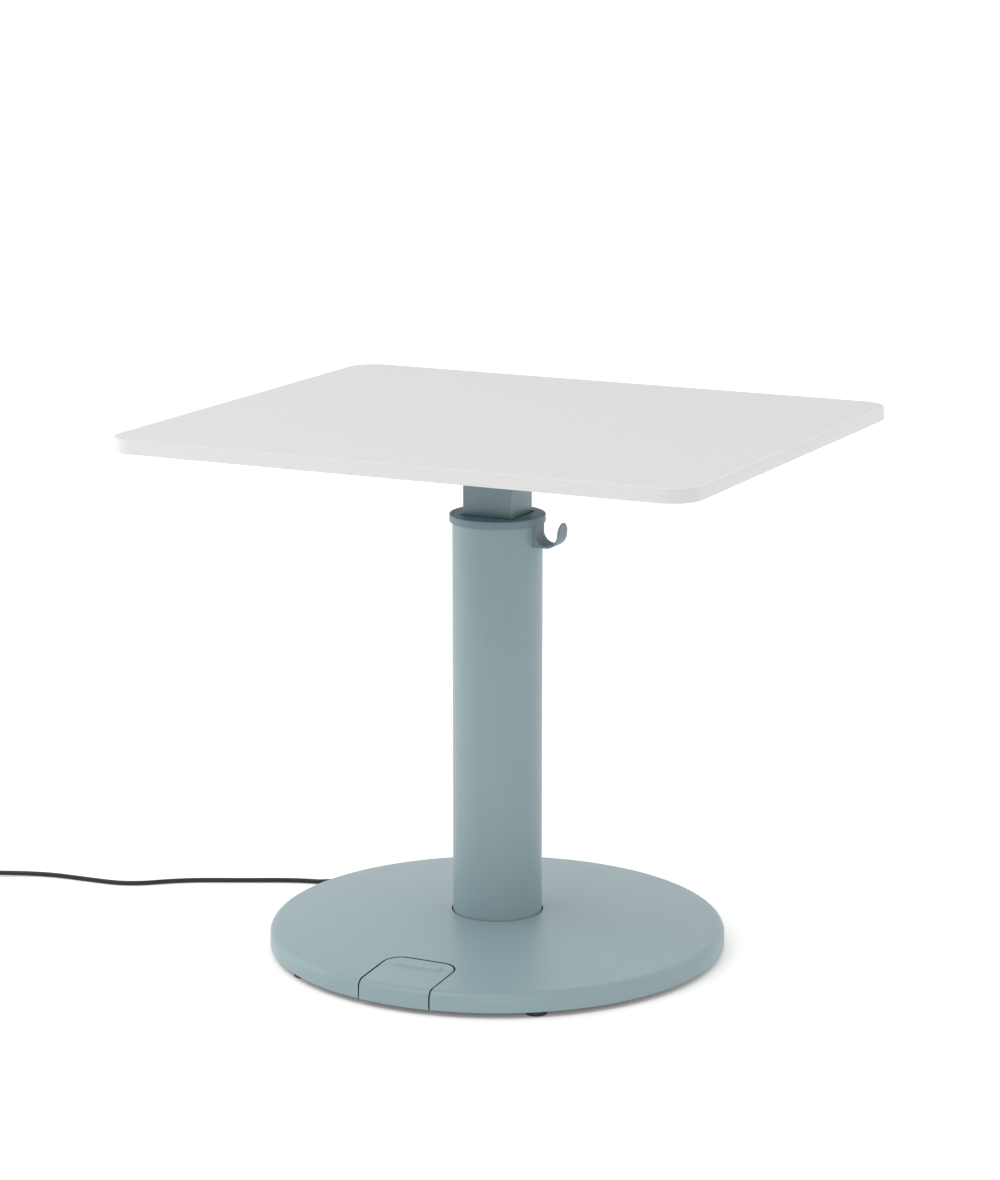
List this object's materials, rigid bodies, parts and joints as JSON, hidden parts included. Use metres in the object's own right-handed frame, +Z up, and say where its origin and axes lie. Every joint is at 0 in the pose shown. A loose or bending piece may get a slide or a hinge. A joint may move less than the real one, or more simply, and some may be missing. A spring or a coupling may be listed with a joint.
{
  "type": "standing desk",
  "caption": "Height-adjustable standing desk: rectangular top on one telescopic column, round domed base with a rocker foot pedal, bag hook and mains lead.",
  "frame": {"origin": "on the floor under the column's axis, which is the middle of the base; the top is set 32 mm back from it", "axes": "+X to the sitter's right, +Y away from the sitter, +Z up; the desk is at its lowest"},
  "size_m": [1.2537, 0.69, 0.698],
  "materials": {
    "white_laminate": "white high-pressure laminate, fine satin",
    "white_edge": "white edge band, satin",
    "board_core": "particle board, hidden",
    "pale_blue_paint": "pale blue-grey powder coat, satin",
    "grey_blue_paint": "grey-blue powder coat, satin",
    "blue_plastic": "moulded blue-grey nylon, matt",
    "black_plastic": "moulded black plastic, matt",
    "cord_rubber": "black PVC sheath, satin",
    "strap_fabric": "black hook-and-loop strap",
    "black_rubber": "black rubber, matt",
    "plate_steel": "black painted steel plate",
    "zinc_steel": "zinc plated or bright steel",
    "guide_plastic": "natural acetal",
    "motor_steel": "dark plated motor can",
    "cast_aluminium": "die-cast",
    "nut_brass": "turned brass",
    "board_green": "glass-fibre circuit board"
  },
  "bodies": {
    "frame": {"base_plate": "plate_steel", "glide_feet": "black_plastic", "base_cover": "pale_blue_paint", "cover_posts": "zinc_steel", "cover_screws": "zinc_steel", "column_flange": "plate_steel", "flange_bolts": "zinc_steel", "outer_tube": "pale_blue_paint", "upper_guide_bush": "guide_plastic", "column_collar": "blue_plastic", "bag_hook": "blue_plastic", "motor_mount": "plate_steel", "motor_mount_screws": "zinc_steel", "lift_motor": "motor_steel", "gearbox": "cast_aluminium", "thrust_bearing": "zinc_steel", "control_box_housing": "black_plastic", "control_box_lid": "black_plastic", "control_box_screws": "zinc_steel", "control_board": "board_green", "cord_strain_relief": "black_plastic", "inner_mains_lead": "cord_rubber", "motor_lead": "cord_rubber", "pedal_lead": "cord_rubber", "pedal_bracket": "plate_steel", "pedal_bracket_screws": "zinc_steel", "pedal_pin": "zinc_steel", "pedal_return_spring": "zinc_steel", "pedal_bumpers": "black_rubber", "pedal_sensor": "black_plastic", "mains_cord": "cord_rubber", "mains_cord_coil": "cord_rubber", "cord_tie": "strap_fabric", "mains_plug": "black_plastic", "plug_pins": "nut_brass"},
    "lift": {"top_core": "board_core", "top_laminate": "white_laminate", "bottom_laminate": "white_laminate", "edge_band": "white_edge", "top_bracket": "grey_blue_paint", "top_bracket_screws": "zinc_steel", "head_plate": "grey_blue_paint", "head_plate_bolts": "zinc_steel", "inner_column": "grey_blue_paint", "lower_guide_shoe": "guide_plastic", "nut_carrier": "cast_aluminium", "drive_nut": "nut_brass", "nut_screws": "zinc_steel"},
    "spindle": {"spindle": "zinc_steel", "spindle_stop": "zinc_steel"},
    "pedal": {"foot_pedal": "pale_blue_paint", "pedal_magnet": "zinc_steel"}
  },
  "joints": [
    {"name": "lift_slide", "type": "slide", "parent": "frame", "child": "lift", "axis": [0, 0, 1], "range_m": [0, 0.38]},
    {"name": "spindle_spin", "type": "hinge", "parent": "frame", "child": "spindle", "pos_m": [0, 0, 0.25], "axis": [0, 0, 1], "range_deg": [-13680, 0]},
    {"name": "pedal_tilt", "type": "hinge", "parent": "frame", "child": "pedal", "pos_m": [0, -0.256, 0.026], "axis": [1, 0, 0], "range_deg": [-2.5, 2.5], "stiffness_Nm_per_rad": 18}
  ],
  "couplings": [
    {"joint": "spindle_spin", "follows": "lift_slide", "rad_per_m": -628.32}
  ]
}
